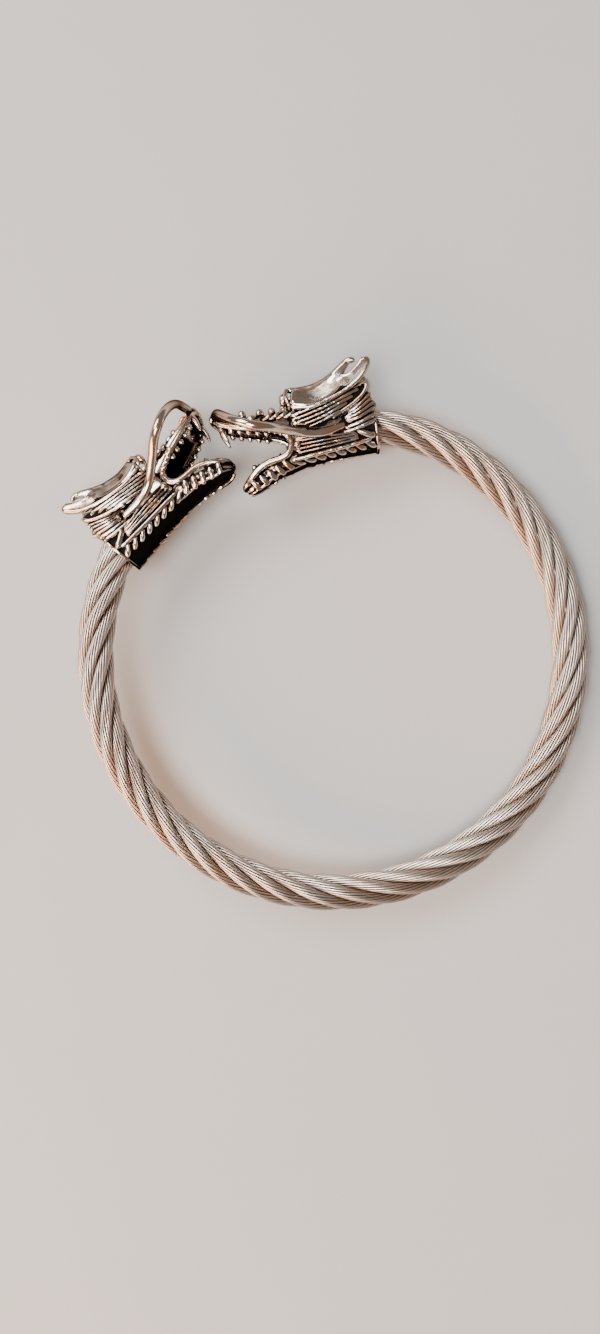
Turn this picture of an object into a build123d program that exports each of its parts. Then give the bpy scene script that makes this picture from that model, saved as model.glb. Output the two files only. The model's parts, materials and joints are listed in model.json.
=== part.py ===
from build123d import *
import os
from collections import namedtuple
from math import atan2, ceil, cos, degrees, radians, sin

# A spring bangle of twisted wire rope whose two ends are crimped into cast dragon heads.
# Millimetres. The ring is laid out round its own centre in the XY plane, as seen from above,
# and the finished bangle is then set down on the heads and the far side of the rope.

# Driving dimensions of the rope
ring_radius = 32.7
rope_diameter = 5.0
strand_diameter = 1.54
core_clearance = 0.14
strand_count = 6
lay_length = 32.4
lay_phase = 83.0
strand_sides = 6
sections_per_turn = 9

# Where the rope runs, in degrees round the ring from +X
left_neck_angle = 154.65
right_bend_angle = 56.6
right_bend_radius = 24.9
right_bend_length = 13.0

# Driving dimensions of one casting, from the rope's centre at the neck rim, the width over the prongs
head_length = 22.0
head_width = 10.4
head_height = 15.0
neck_wall = 0.85
bore_clearance = 0.1
bore_depth = 5.0
rope_end_gap = 0.5
neck_tilt = 13.5
left_head_roll = 25.0
rim_width = 0.35
rim_lip = 0.2

# Thicknesses of the raised and free-standing work
horn_thickness = 1.2
whisker_diameter = 1.0
lip_diameter = 0.8
jaw_rim_diameter = 0.5
mane_thickness = 1.2
mane_ridge_width = 0.7
comb_tuft_width = 0.9
tooth_width = 0.75
fang_width = 1.0
eye_diameter = 1.2
bead_diameter = 0.9

# How finely the round work is faceted
ball_rows = 3
ball_sides = 6
corner_steps = 3

# Sizes that follow from those above
rope_radius = rope_diameter / 2
strand_radius = strand_diameter / 2
helix_radius = rope_radius - strand_radius
core_radius = helix_radius - strand_radius - core_clearance
bore_radius = rope_radius + bore_clearance
neck_radius = bore_radius + neck_wall
rope_insert = bore_depth - rope_end_gap

Slice = namedtuple("Slice", "along half_width bottom top corner")
Spot = namedtuple("Spot", "along across up tall thick lean")

# Skull, back to front: along the head as a share of its length, the rest in neck radii
SKULL = [
    Slice(0.000, 1.00, -0.99, 1.01, 0.97),
    Slice(0.090, 1.01, -0.98, 1.19, 0.80),
    Slice(0.230, 1.03, -0.96, 1.33, 0.55),
    Slice(0.390, 0.96, -0.96, 1.34, 0.50),
    Slice(0.515, 0.87, -1.03, 1.52, 0.50),
]

# Jaws, back to front: shares of the head's length, half its width, and its height
UPPER_JAW = [
    Slice(0.450, 0.553, 0.000, 0.325, 0.5),
    Slice(0.590, 0.523, 0.060, 0.287, 0.5),
    Slice(0.727, 0.538, 0.133, 0.293, 0.5),
    Slice(0.855, 0.477, 0.180, 0.307, 0.5),
    Slice(0.950, 0.354, 0.240, 0.325, 0.6),
    Slice(1.000, 0.184, 0.280, 0.335, 0.6),
]
LOWER_JAW = [
    Slice(0.450, 0.538, -0.237, -0.080, 0.6),
    Slice(0.568, 0.523, -0.253, -0.113, 0.6),
    Slice(0.660, 0.477, -0.293, -0.153, 0.6),
    Slice(0.750, 0.399, -0.373, -0.205, 0.6),
    Slice(0.836, 0.230, -0.407, -0.310, 0.6),
]

# Free and raised work of the left flank: along the length, across half the width and up the
# height as shares, then how tall and thick the section is in its own named size, and its lean
HORN = [
    Spot(0.502, 0.601, 0.353, 2.50, 1.0, 27),
    Spot(0.377, 0.638, 0.320, 2.65, 1.0, 27),
    Spot(0.255, 0.701, 0.363, 2.65, 1.0, 20),
    Spot(0.155, 0.785, 0.433, 2.75, 1.0, 5),
    Spot(0.118, 0.816, 0.470, 2.40, 1.0, 0),
]
TEMPLE = [
    Spot(0.500, 0.462, 0.300, 2.00, 2.2, 10),
    Spot(0.250, 0.569, 0.300, 1.60, 1.8, 10),
    Spot(0.170, 0.662, 0.350, 1.00, 1.2, 5),
]
FRONT_PRONG = [
    Spot(0.182, 0.723, 0.473, 1.40, 1.0, 5),
    Spot(0.141, 0.753, 0.533, 1.10, 0.9, 0),
    Spot(0.100, 0.792, 0.570, 0.85, 0.8, 0),
    Spot(0.064, 0.831, 0.563, 0.50, 0.6, 0),
]
REAR_PRONG = [
    Spot(0.155, 0.822, 0.373, 1.35, 1.0, 0),
    Spot(0.086, 0.861, 0.420, 1.25, 1.0, 0),
    Spot(0.032, 0.892, 0.487, 1.10, 0.9, 0),
    Spot(-0.005, 0.922, 0.567, 0.65, 0.7, 0),
]
BOWED_WHISKER = [
    Spot(0.968, 0.347, 0.327, 1.0, 1.0, 0),
    Spot(0.950, 0.812, 0.310, 1.0, 1.0, 0),
    Spot(0.870, 1.540, 0.180, 1.0, 1.0, 0),
    Spot(0.775, 1.794, 0.085, 1.0, 1.0, 0),
    Spot(0.680, 1.675, 0.055, 1.0, 1.0, 0),
    Spot(0.573, 1.252, 0.035, 1.0, 1.0, 0),
    Spot(0.477, 0.892, 0.013, 1.0, 1.0, 0),
    Spot(0.340, 0.745, -0.010, 1.0, 1.0, 0),
    Spot(0.232, 0.731, 0.013, 0.9, 0.9, 0),
    Spot(0.195, 0.723, 0.023, 0.6, 0.6, 0),
]
CLOSE_WHISKER = [
    Spot(0.968, 0.347, 0.327, 1.0, 1.0, 0),
    Spot(0.909, 0.538, 0.300, 1.0, 1.0, 0),
    Spot(0.773, 0.653, 0.213, 1.0, 1.0, 0),
    Spot(0.636, 0.692, 0.147, 1.0, 1.0, 0),
    Spot(0.510, 0.692, 0.060, 1.0, 1.0, 0),
    Spot(0.340, 0.745, -0.010, 1.0, 1.0, 0),
    Spot(0.232, 0.731, 0.013, 0.9, 0.9, 0),
    Spot(0.195, 0.723, 0.023, 0.6, 0.6, 0),
]
UPPER_LIP = [
    Spot(0.550, 0.577, 0.020, 1.0, 1.0, 0),
    Spot(0.610, 0.564, 0.080, 1.0, 1.0, 0),
    Spot(0.727, 0.538, 0.133, 1.0, 1.0, 0),
    Spot(0.845, 0.484, 0.177, 1.0, 1.0, 0),
    Spot(0.936, 0.369, 0.233, 1.0, 1.0, 0),
    Spot(0.986, 0.215, 0.285, 1.0, 1.0, 0),
]
LOWER_LIP = [
    Spot(0.560, 0.577, 0.020, 1.0, 1.0, 0),
    Spot(0.543, 0.577, -0.060, 1.0, 1.0, 0),
    Spot(0.560, 0.558, -0.133, 1.0, 1.0, 0),
    Spot(0.623, 0.520, -0.163, 1.0, 1.0, 0),
    Spot(0.695, 0.481, -0.177, 1.0, 1.0, 0),
    Spot(0.764, 0.423, -0.223, 1.0, 1.0, 0),
    Spot(0.825, 0.338, -0.293, 1.0, 1.0, 0),
    Spot(0.864, 0.184, -0.353, 1.0, 1.0, 0),
]
JAW_RIM = [
    Spot(0.505, 0.308, -0.243, 1.0, 1.0, 0),
    Spot(0.659, 0.347, -0.293, 1.0, 1.0, 0),
    Spot(0.750, 0.308, -0.370, 1.0, 1.0, 0),
    Spot(0.818, 0.193, -0.413, 1.0, 1.0, 0),
]
JAW_RIDGE = [
    Spot(0.515, 0.481, -0.187, 1.0, 1.0, 0),
    Spot(0.377, 0.511, -0.180, 1.2, 1.2, 0),
    Spot(0.218, 0.531, -0.170, 1.2, 1.2, 0),
    Spot(0.060, 0.589, -0.140, 1.0, 1.0, 0),
]
SPIKE = [
    Spot(0.030, 0.626, -0.110, 1.3, 1.3, 0),
    Spot(0.120, 0.674, -0.050, 1.1, 1.1, 0),
    Spot(0.210, 0.677, 0.010, 0.4, 0.4, 0),
]
FANG = [
    Spot(0.950, 0.278, 0.240, 1.0, 1.0, 0),
    Spot(0.936, 0.300, 0.130, 0.8, 0.8, 0),
    Spot(0.923, 0.308, 0.063, 0.3, 0.3, 0),
]
LOWER_FANG = [
    Spot(0.780, 0.308, -0.300, 1.2, 1.0, 0),
    Spot(0.800, 0.293, -0.200, 0.3, 0.3, 0),
]

# Plates that carry the mane, in front of the ridges that lie on them
MANE_LOBE = [
    Spot(0.480, 0.553, 0.115, 1.2, 1.0, 0),
    Spot(0.270, 0.646, 0.165, 2.0, 1.0, 0),
    Spot(0.110, 0.668, 0.240, 2.4, 1.0, 0),
    Spot(0.025, 0.685, 0.290, 1.7, 0.6, 0),
]
NECK_LOBE = [
    Spot(0.180, 0.646, 0.050, 1.2, 0.9, 0),
    Spot(0.085, 0.662, 0.105, 1.8, 0.9, 0),
    Spot(0.015, 0.668, 0.150, 1.7, 0.6, 0),
]

# Repeated work, each given by how many there are, its first copy and its last
Fan = namedtuple("Fan", "count first last")
MANE = Fan(
    6,
    [
        Spot(0.536, 0.601, 0.157, 0.6, 0.6, 0),
        Spot(0.273, 0.738, 0.235, 1.0, 1.0, 0),
        Spot(0.045, 0.738, 0.345, 0.6, 0.6, 0),
    ],
    [
        Spot(0.375, 0.638, 0.067, 0.6, 0.6, 0),
        Spot(0.230, 0.738, 0.115, 1.0, 1.0, 0),
        Spot(0.050, 0.762, 0.235, 0.6, 0.6, 0),
    ],
)
NECK_LOCKS = Fan(
    3,
    [
        Spot(0.170, 0.716, 0.085, 0.6, 0.6, 0),
        Spot(0.080, 0.738, 0.145, 1.0, 1.0, 0),
        Spot(0.015, 0.738, 0.200, 0.6, 0.6, 0),
    ],
    [
        Spot(0.165, 0.701, 0.025, 0.6, 0.6, 0),
        Spot(0.080, 0.731, 0.060, 1.0, 1.0, 0),
        Spot(0.015, 0.738, 0.100, 0.6, 0.6, 0),
    ],
)
THROAT_LOCKS = Fan(
    3,
    [
        Spot(0.505, 0.584, -0.050, 0.8, 0.8, 0),
        Spot(0.270, 0.653, -0.050, 0.9, 0.9, 0),
        Spot(0.080, 0.662, -0.060, 0.7, 0.7, 0),
    ],
    [
        Spot(0.500, 0.538, -0.133, 0.8, 0.8, 0),
        Spot(0.270, 0.592, -0.130, 0.9, 0.9, 0),
        Spot(0.080, 0.626, -0.105, 0.7, 0.7, 0),
    ],
)
COMB = Fan(
    8,
    [
        Spot(0.023, 0.230, -0.213, 1.1, 1.2, 0),
        Spot(0.082, 0.520, -0.177, 0.3, 0.3, 0),
    ],
    [
        Spot(0.477, 0.173, -0.233, 1.1, 1.2, 0),
        Spot(0.541, 0.442, -0.213, 0.3, 0.3, 0),
    ],
)
JAW_TUFTS = Fan(
    5,
    [
        Spot(0.560, 0.366, -0.257, 1.1, 1.1, 0),
        Spot(0.610, 0.508, -0.190, 0.3, 0.3, 0),
    ],
    [
        Spot(0.780, 0.269, -0.387, 1.1, 1.1, 0),
        Spot(0.815, 0.366, -0.310, 0.3, 0.3, 0),
    ],
)
TEETH = Fan(
    5,
    [
        Spot(0.893, 0.384, 0.215, 1.0, 1.0, 0),
        Spot(0.886, 0.399, 0.140, 0.5, 0.5, 0),
    ],
    [
        Spot(0.709, 0.432, 0.145, 1.0, 1.0, 0),
        Spot(0.702, 0.447, 0.075, 0.5, 0.5, 0),
    ],
)
FLAMES = Fan(
    2,
    [
        Spot(0.660, 0.338, 0.280, 0.5, 0.5, 0),
        Spot(0.560, 0.462, 0.300, 1.3, 1.0, 0),
    ],
    [
        Spot(0.640, 0.523, 0.220, 0.5, 0.5, 0),
        Spot(0.530, 0.553, 0.235, 1.3, 1.0, 0),
    ],
)

# Round bosses of the left flank: the place as shares, and the diameter in its own named size
Boss = namedtuple("Boss", "along across up girth")
EYE_BOSSES = [
    Boss(0.540, 0.369, 0.325, 1.7),
    Boss(0.568, 0.454, 0.350, 1.0),
]
BEADS = [
    Boss(0.500, 0.569, 0.005, 1.0),
    Boss(0.695, 0.538, 0.122, 1.2),
    Boss(0.655, 0.547, 0.102, 1.0),
    Boss(0.695, 0.200, 0.300, 1.5),
    Boss(0.805, 0.200, 0.310, 1.4),
    Boss(0.195, 0.723, 0.023, 0.9),
]


# Sections of the work, as shares of half the thickness and half the height
BAR = [(1, 0.5), (1, -0.5), (0, -1), (-1, -0.5), (-1, 0.5), (0, 1)]
RIDGE = [(1, 0), (0, -1), (-1, 0), (0, 1)]


def head_point(along, across, up):
    """A point of the head from its shares of length, half width and height."""
    return Vector(along * head_length, across * head_width / 2, up * head_height)


def between(first, last, share):
    """A table row part of the way from one row to another."""
    return Spot(*[a + (b - a) * share for a, b in zip(first, last)])


def headings(points):
    """The direction of a path at each of its points."""
    ahead = points[1:] + points[-1:]
    behind = points[:1] + points[:-1]
    return [(a - b).normalized() for a, b in zip(ahead, behind)]


def faceted(rings):
    """A closed solid of flat faces through rings of as many points each."""
    faces = [Face(Wire.make_polygon(rings[0])), Face(Wire.make_polygon(rings[-1]))]
    for ring, onward in zip(rings, rings[1:]):
        for number in range(len(ring)):
            near, far = ring[number - 1], ring[number]
            onward_near, onward_far = onward[number - 1], onward[number]
            faces.append(Face(Wire.make_polygon([near, far, onward_far])))
            faces.append(Face(Wire.make_polygon([near, onward_far, onward_near])))
    return Solid(Shell(faces))


def limb(rows, size, profile=BAR, side=Vector(0, 1, 0)):
    """A flat-sided bar through the rows, its thickness leaning from the side given."""
    points = [head_point(row.along, row.across, row.up) for row in rows]
    rings = []
    for row, point, heading in zip(rows, points, headings(points)):
        place = Plane(point, x_dir=side.rotate(Axis.X, row.lean), z_dir=heading)
        half_thick = size * row.thick / 2
        half_tall = size * row.tall / 2
        corners = [Vector(half_thick * thick, half_tall * tall) for thick, tall in profile]
        rings.append([place.from_local_coords(corner) for corner in corners])
    return faceted(rings)


def fan(group, size):
    """The copies of a group, spaced evenly from its first to its last."""
    copies = []
    for number in range(group.count):
        share = number / max(group.count - 1, 1)
        rows = [between(a, b, share) for a, b in zip(group.first, group.last)]
        copies.append(limb(rows, size, RIDGE))
    return copies


def ball(boss, size):
    """A round boss of flat faces, of the given named size."""
    centre = head_point(boss.along, boss.across, boss.up)
    rings = []
    for row in range(ball_rows):
        latitude = radians(180 * (row + 0.5) / ball_rows)
        ring_size = boss.girth * size / 2 * sin(latitude)
        level = centre + Vector(boss.girth * size / 2 * cos(latitude), 0, 0)
        turns = [radians(360 * step / ball_sides) for step in range(ball_sides)]
        rings.append([level + Vector(0, ring_size * cos(turn), ring_size * sin(turn)) for turn in turns])
    return faceted(rings)


def block(rows, wide_unit, tall_unit):
    """A solid through rounded sections that stand square to the head."""
    rings = []
    for row in rows:
        half_wide = row.half_width * wide_unit
        half_tall = (row.top - row.bottom) / 2 * tall_unit
        middle = (row.top + row.bottom) / 2 * tall_unit
        corner = row.corner * min(half_wide, half_tall)
        ring = []
        for quarter in range(4):
            centre_y = (half_wide - corner) * (1 if quarter in (0, 3) else -1)
            centre_z = (half_tall - corner) * (1 if quarter < 2 else -1)
            for step in range(corner_steps):
                turn = radians(90 * (quarter + (step + 0.5) / corner_steps))
                across = centre_y + corner * cos(turn)
                up = middle + centre_z + corner * sin(turn)
                ring.append(Vector(row.along * head_length, across, up))
        rings.append(ring)
    return faceted(rings)


def rope_plane(distance):
    """The rope's cross-section plane: x outwards, z along the rope from the left neck."""
    main_length = radians(360 + right_bend_angle - left_neck_angle) * ring_radius
    into_bend = distance - main_length
    if distance < 0:
        angle, radius, centre, spare = left_neck_angle, ring_radius, Vector(0, 0, 0), distance
    elif into_bend < 0:
        angle = left_neck_angle + degrees(distance / ring_radius)
        radius, centre, spare = ring_radius, Vector(0, 0, 0), 0
    else:
        centre = Vector(ring_radius - right_bend_radius, 0, 0).rotate(Axis.Z, right_bend_angle)
        angle = right_bend_angle + degrees(min(into_bend, right_bend_length) / right_bend_radius)
        radius, spare = right_bend_radius, max(into_bend - right_bend_length, 0)
    outward = Vector(1, 0, 0).rotate(Axis.Z, angle)
    along = Vector(0, 1, 0).rotate(Axis.Z, angle)
    return Plane(centre + outward * radius + along * spare, x_dir=outward, z_dir=along)


def strand_section(distance, number):
    """The plane of one strand's section, turned round the rope's centre with the lay."""
    rope = rope_plane(distance)
    turn = radians(lay_phase + 360 * (number / strand_count + distance / lay_length))
    up = Vector(0, 0, 1)
    outward = up * cos(turn) + rope.x_dir * sin(turn)
    onward = rope.x_dir * cos(turn) - up * sin(turn)
    heading = rope.z_dir + onward * (radians(360) * helix_radius / lay_length)
    return Plane(rope.origin + outward * helix_radius, x_dir=outward, z_dir=heading)


# Half a dragon head, facing along +X from its neck rim
flank = [
    limb(HORN, horn_thickness),
    limb(TEMPLE, horn_thickness),
    limb(FRONT_PRONG, horn_thickness),
    limb(REAR_PRONG, horn_thickness),
    limb(UPPER_LIP, lip_diameter),
    limb(LOWER_LIP, lip_diameter),
    limb(JAW_RIM, jaw_rim_diameter, RIDGE),
    limb(JAW_RIDGE, mane_ridge_width, RIDGE),
    limb(SPIKE, mane_ridge_width, RIDGE),
    limb(FANG, fang_width, RIDGE),
    limb(LOWER_FANG, fang_width, RIDGE),
    limb(MANE_LOBE, mane_thickness),
    limb(NECK_LOBE, mane_thickness),
]
flank += fan(MANE, mane_ridge_width)
flank += fan(NECK_LOCKS, mane_ridge_width)
flank += fan(THROAT_LOCKS, mane_ridge_width)
flank += fan(COMB, comb_tuft_width)
flank += fan(JAW_TUFTS, comb_tuft_width)
flank += fan(TEETH, tooth_width)
flank += fan(FLAMES, mane_ridge_width)
flank += [ball(boss, eye_diameter) for boss in EYE_BOSSES]
flank += [ball(boss, bead_diameter) for boss in BEADS]

with BuildPart() as half_head:
    add(block(SKULL, neck_radius, neck_radius))
    add(block(UPPER_JAW, head_width / 2, head_height))
    add(block(LOWER_JAW, head_width / 2, head_height))
    with BuildSketch(Plane.YZ):
        RegularPolygon(neck_radius + rim_lip, 4 * corner_steps)
    extrude(amount=rim_width)
    split(bisect_by=Plane.XZ, keep=Keep.BOTTOM)
    add(flank)

# The rope's two neck planes, and each head turned from the rope's line by the neck's tilt
rope_length = radians(360 + right_bend_angle - left_neck_angle) * ring_radius + right_bend_length
left_neck = rope_plane(0)
right_neck = rope_plane(rope_length)
right_forward = right_neck.z_dir.rotate(Axis.Z, neck_tilt)
right_up = right_forward.rotate(Axis.Z, -90)
left_forward = (left_neck.z_dir * -1).rotate(Axis.Z, -neck_tilt)
left_up = left_forward.rotate(Axis.Z, 90).rotate(Axis((0, 0, 0), left_forward), -left_head_roll)
right_seat = Plane(right_neck.origin, x_dir=right_forward, z_dir=right_up)
left_seat = Plane(left_neck.origin, x_dir=left_forward, z_dir=left_up)

with BuildPart() as right_casting:
    add(half_head.part)
    mirror(half_head.part, about=Plane.XZ)
    add(limb(BOWED_WHISKER, whisker_diameter, side=Vector(0, 0, 1)))
    mirror(limb(CLOSE_WHISKER, whisker_diameter, side=Vector(0, 0, 1)), about=Plane.XZ)

with BuildPart() as left_casting:
    mirror(right_casting.part, about=Plane.XZ)

with BuildPart(right_seat) as head_right:
    add(right_casting.part)
    with BuildSketch(right_neck.offset(-bore_radius)):
        Circle(bore_radius)
    extrude(amount=bore_radius + bore_depth, mode=Mode.SUBTRACT)

with BuildPart(left_seat) as head_left:
    add(left_casting.part)
    with BuildSketch(left_neck.offset(bore_radius)):
        Circle(bore_radius)
    extrude(amount=-bore_radius - bore_depth, mode=Mode.SUBTRACT)

pieces = {"head_right": head_right, "head_left": head_left}

# The rope: a plain core and six strands laid round it, all ending inside the two bores
with BuildPart() as rope_core:
    with BuildLine() as core_line:
        start = rope_plane(-rope_insert)
        Line(start.origin, left_neck.origin)
        CenterArc((0, 0, 0), ring_radius, left_neck_angle, 360 + right_bend_angle - left_neck_angle)
        bend = rope_plane(rope_length - right_bend_length)
        CenterArc(
            bend.origin - bend.x_dir * right_bend_radius,
            right_bend_radius,
            right_bend_angle,
            degrees(right_bend_length / right_bend_radius),
        )
        Line(right_neck.origin, rope_plane(rope_length + rope_insert).origin)
    with BuildSketch(start):
        Circle(core_radius)
    sweep()
pieces["rope_core"] = rope_core

whole_length = rope_length + 2 * rope_insert
section_count = ceil(whole_length / (lay_length / sections_per_turn))
for number in range(strand_count):
    with BuildPart() as strand:
        for station in range(section_count + 1):
            distance = whole_length * station / section_count - rope_insert
            with BuildSketch(strand_section(distance, number)):
                RegularPolygon(strand_radius, strand_sides)
        loft(ruled=True)
    pieces[f"rope_strand_{number + 1}"] = strand

# At rest the bangle lies on the far side of the rope and on one prong of each head
prong_tip = REAR_PRONG[-1]
prong_drop = Vector(0, 0, horn_thickness * prong_tip.thick / 2)
right_prong = head_point(prong_tip.along, -prong_tip.across, prong_tip.up)
left_prong = head_point(prong_tip.along, prong_tip.across, prong_tip.up)
right_foot = right_seat.from_local_coords(right_prong) - prong_drop
left_foot = left_seat.from_local_coords(left_prong) - prong_drop
floor_up = Vector(0, 0, 1)
lowest_angle = 270
for attempt in range(5):
    rope_foot = rope_plane(radians(lowest_angle - left_neck_angle) * ring_radius).origin
    rope_foot -= floor_up * rope_radius
    floor_up = (right_foot - rope_foot).cross(left_foot - rope_foot).normalized()
    lowest_angle = degrees(atan2(-floor_up.Y, -floor_up.X)) % 360
floor = Plane(rope_foot, x_dir=Vector(1, 0, 0) - floor_up * floor_up.X, z_dir=floor_up)

laid = {name: floor.to_local_coords(piece.part) for name, piece in pieces.items()}
boxes = [part.bounding_box() for part in laid.values()]
stand = Vector(
    -(min(box.min.X for box in boxes) + max(box.max.X for box in boxes)) / 2,
    -(min(box.min.Y for box in boxes) + max(box.max.Y for box in boxes)) / 2,
    -min(box.min.Z for box in boxes),
)
ring_centre = floor.to_local_coords(Vector(0, 0, 0)) + stand
ring_axis = floor.to_local_coords(Vector(0, 0, 1)) - floor.to_local_coords(Vector(0, 0, 0))
print("ring centre", ring_centre, "axis", ring_axis)

os.makedirs("parts", exist_ok=True)
for name, part in laid.items():
    placed = part.moved(Location(stand))
    placed.label = name
    export_step(placed, f"parts/{name}.step")
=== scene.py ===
"""Looks of an open spring bangle: a ring of twisted wire rope between two cast dragon heads.

Shapes are worked out in millimetres, the ring's in a frame round its own centre and the heads' in
one that starts at the neck rim, and are placed in metres at the end.
"""

import json
import logging
from dataclasses import dataclass
from enum import Enum
from math import cos, radians, sin, tau
from typing import NamedTuple

import bpy
import numpy as np
from bpy.types import Material, Mesh, Node, NodeSocket, NodeTree, Object
from mathutils import Matrix, Vector


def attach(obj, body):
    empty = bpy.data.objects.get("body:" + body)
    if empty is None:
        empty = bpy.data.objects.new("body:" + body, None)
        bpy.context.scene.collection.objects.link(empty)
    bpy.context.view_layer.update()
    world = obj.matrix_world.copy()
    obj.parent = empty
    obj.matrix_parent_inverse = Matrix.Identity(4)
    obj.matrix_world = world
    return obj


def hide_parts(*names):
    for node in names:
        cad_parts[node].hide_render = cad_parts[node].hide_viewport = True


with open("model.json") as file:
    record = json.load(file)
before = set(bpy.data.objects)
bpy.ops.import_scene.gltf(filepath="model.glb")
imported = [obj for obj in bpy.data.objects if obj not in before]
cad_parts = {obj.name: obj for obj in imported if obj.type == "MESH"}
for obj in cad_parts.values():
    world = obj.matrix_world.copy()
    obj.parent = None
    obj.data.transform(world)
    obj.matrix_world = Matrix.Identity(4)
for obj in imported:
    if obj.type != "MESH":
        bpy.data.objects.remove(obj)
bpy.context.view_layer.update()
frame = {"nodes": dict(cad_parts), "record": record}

MM = 0.001
RING_AXIS = np.array([0.0, 0.0, 1.0])
MASK_SETTINGS = ("Start", "End", "Grain Size", "Unevenness")
LIMB_SIDES = 20
LIMB_STEPS = 14
BLOCK_SIDES = 40
BLOCK_STEPS = 10
KNOB_SIDES = 20
KNOB_RINGS = 12
THINNEST = 0.05
BLUNTNESS = 0.02
LOG = logging.getLogger("bangle")
Array = np.ndarray


class Section(Enum):
    """How square a section is: the power of its superellipse."""

    ROUND = 2.0
    SQUARE = 4.0


class Side(Enum):
    """Which way a section's thickness points before it leans."""

    ACROSS = (0.0, 1.0, 0.0)
    UPRIGHT = (0.0, 0.0, 1.0)


class Spot(NamedTuple):
    """A place on a head and the section there: millimetres, and the lean in degrees."""

    forward: float
    across: float
    up: float
    tall: float
    thick: float
    lean: float = 0.0


class Boss(NamedTuple):
    """A rounded knob: its centre and its three half widths, in millimetres."""

    forward: float
    across: float
    up: float
    half_length: float
    half_width: float
    half_height: float


class Fan(NamedTuple):
    """Like pieces side by side: how many, and the rows of the first and of the last."""

    count: int
    first: list[tuple]
    last: list[tuple]


class Slope(NamedTuple):
    """A straight line along a head: a place on it and its rise for each millimetre forward."""

    forward: float
    up: float
    rise: float

    def height(self, forward: Array) -> Array:
        """How high the line is at a place along the head."""
        return self.up + (forward - self.forward) * self.rise


@dataclass
class Shell:
    """One or more closed surfaces: points, quads of point numbers, and end caps of point numbers."""

    points: Array
    quads: Array
    caps: list[Array]

    @staticmethod
    def from_rings(rings: Array) -> "Shell":
        """Skin a row of closed rings and close its two ends.

        Quad (i, j) joins points j and j + 1 of ring i to the same points of ring i + 1.

        Args:
            rings: Ring by ring, point by point, three coordinates.

        Returns:
            A closed surface.
        """
        count, sides, _ = rings.shape
        number = np.arange(count * sides).reshape(count, sides)
        near, far = number[:-1], number[1:]
        quads = np.stack([near, np.roll(near, -1, 1), np.roll(far, -1, 1), far], axis=-1)
        return Shell(rings.reshape(-1, 3), quads.reshape(-1, 4), [number[0][::-1], number[-1]])

    @staticmethod
    def joined(shells: list["Shell"]) -> "Shell":
        """Put several surfaces into one, each with its own vertices."""
        starts = np.cumsum([0] + [len(shell.points) for shell in shells[:-1]])
        return Shell(
            np.vstack([shell.points for shell in shells]),
            np.vstack([shell.quads + start for shell, start in zip(shells, starts)]),
            [cap + start for shell, start in zip(shells, starts) for cap in shell.caps],
        )

    def mirrored(self) -> "Shell":
        """The same surface on the other flank, with its faces turned to point outwards."""
        return Shell(self.points * [1, -1, 1], self.quads[:, ::-1], [cap[::-1] for cap in self.caps])

    def to_mesh(self, name: str) -> Mesh:
        """Write the surface into a new smooth mesh.

        Args:
            name: The mesh's name.

        Returns:
            The mesh.
        """
        mesh = bpy.data.meshes.new(name)
        loops = np.concatenate([self.quads.ravel(), *self.caps])
        sizes = np.concatenate([np.full(len(self.quads), 4), [len(cap) for cap in self.caps]])
        starts = np.concatenate([[0], np.cumsum(sizes)[:-1]]).astype(np.int32)
        mesh.vertices.add(len(self.points))
        mesh.vertices.foreach_set("co", self.points.ravel())
        mesh.loops.add(len(loops))
        mesh.loops.foreach_set("vertex_index", loops.astype(np.int32))
        mesh.polygons.add(len(starts))
        mesh.polygons.foreach_set("loop_start", starts)
        mesh.polygons.foreach_set("use_smooth", np.ones(len(starts), bool))
        mesh.update(calc_edges=True)
        return mesh


def unit(vectors: Array) -> Array:
    """Each vector over its own length."""
    return vectors / np.maximum(np.linalg.norm(vectors, axis=-1, keepdims=True), 1e-12)


def ramp(values: Array, start: float, full: float) -> Array:
    """A smooth step from 0 at the start to 1 where it is full: 3t squared less 2t cubed."""
    share = np.clip((values - start) / (full - start), 0, 1)
    return share * share * (3 - 2 * share)


def spline(rows: list, count: int) -> Array:
    """Carry a smooth line through table rows.

    Between rows b and c each column is the Catmull-Rom cubic of rows a, b, c and d:
    half of 2b + (c - a)t + (2a - 5b + 4c - d)t² + (3b - a - 3c + d)t³.

    Args:
        rows: Table rows of the same length.
        count: How many points to give.

    Returns:
        One row a point.
    """
    table = np.asarray(rows, float)
    padded = np.vstack([2 * table[0] - table[1], table, 2 * table[-1] - table[-2]])
    place = np.linspace(0, len(table) - 1, count)
    span = np.minimum(place.astype(int), len(table) - 2)
    t = (place - span)[:, None]
    a, b, c, d = (padded[span + step] for step in range(4))
    return (2 * b + (c - a) * t + (2 * a - 5 * b + 4 * c - d) * t**2 + (3 * b - a - 3 * c + d) * t**3) / 2


def superellipse(sides: int, power: float | Array) -> list[Array]:
    """How far across and up a unit superellipse's points are: the 2/power of cosine and of sine."""
    angle = tau * np.arange(sides) / sides
    return [np.sign(way) * np.abs(way) ** (2 / power) for way in (np.cos(angle), np.sin(angle))]


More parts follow.
